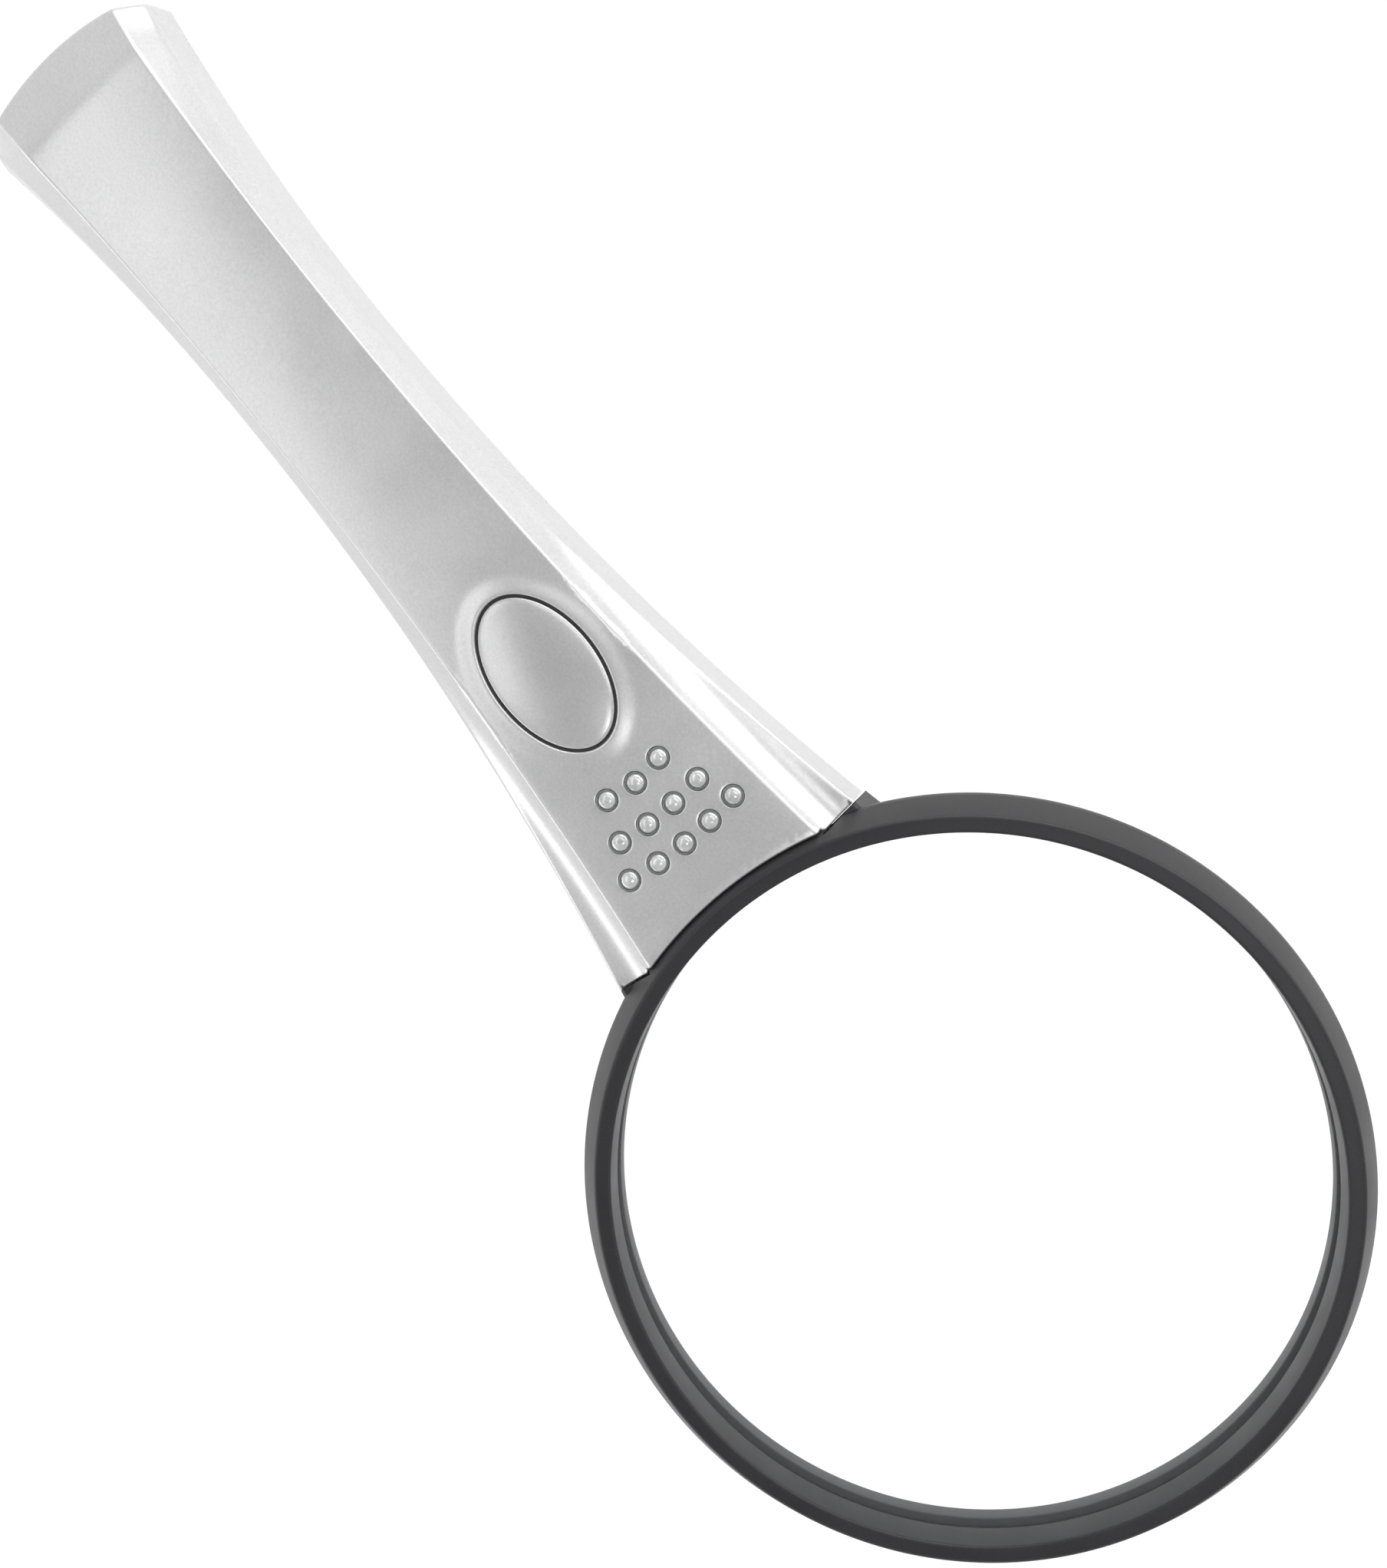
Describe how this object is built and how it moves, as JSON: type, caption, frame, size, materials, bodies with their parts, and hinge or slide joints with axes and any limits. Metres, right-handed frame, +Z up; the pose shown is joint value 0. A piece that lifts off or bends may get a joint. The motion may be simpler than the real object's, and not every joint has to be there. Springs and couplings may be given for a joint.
{
  "type": "illuminated hand magnifier",
  "caption": "Hand-held low vision magnifier: a large round lens in a slim black frame on a flared silver handle with an oval push button, clear grip domes, lamps and a battery bay.",
  "frame": {"origin": "under the middle of the overall length and width, at the level of the flat underside", "axes": "+X from the handle's end towards the lens, +Z up out of the face with the button, +Y to the left of the handle seen from its end"},
  "size_m": [0.2842, 0.12, 0.0146],
  "materials": {
    "lens_acrylic": "polished clear acrylic",
    "black_plastic": "satin charcoal",
    "silver_paint": "satin silver paint on plastic",
    "silver_button": "satin silver paint on plastic",
    "clear_plastic": "clear moulded plastic",
    "white_plastic": "moulded",
    "board_green": "solder mask",
    "lamp_clear": "clear epoxy",
    "resistor_body": "lacquer",
    "cell_jacket": "shrink sleeve",
    "nickel": "nickel plate",
    "spring_steel": "drawn wire",
    "screw_steel": "zinc plate",
    "wire_red": "PVC sleeve",
    "wire_black": "PVC sleeve"
  },
  "bodies": {
    "handle": {"lens": "lens_acrylic", "lens_frame": "black_plastic", "lens_retainer": "black_plastic", "upper_shell": "silver_paint", "lower_shell": "silver_paint", "led_window": "clear_plastic", "grip_domes": "clear_plastic", "button_spring": "spring_steel", "switch_body": "black_plastic", "circuit_board": "board_green", "led_left": "lamp_clear", "led_middle": "lamp_clear", "led_right": "lamp_clear", "resistor": "resistor_body", "battery_rear": "cell_jacket", "battery_front": "cell_jacket", "battery_spring": "nickel", "battery_contact_rear": "nickel", "battery_contact_front": "nickel", "wire_red": "wire_red", "wire_black": "wire_black", "case_screw_neck_left": "screw_steel", "case_screw_neck_right": "screw_steel", "case_screw_rear_left": "screw_steel", "case_screw_rear_right": "screw_steel"},
    "button": {"button_cap": "silver_button", "switch_plunger": "white_plastic"},
    "door": {"battery_door": "silver_paint"}
  },
  "joints": [
    {"name": "button_press", "type": "slide", "parent": "handle", "child": "button", "axis": [0, 0, -1], "range_m": [0, 0.0012], "stiffness_N_per_m": 1500, "springref_m": -0.0006, "deforming": ["button_spring"]},
    {"name": "battery_door_hinge", "type": "hinge", "parent": "handle", "child": "door", "pos_m": [-0.13405, 0, 0], "axis": [0, 1, 0], "range_deg": [0, 75]}
  ]
}
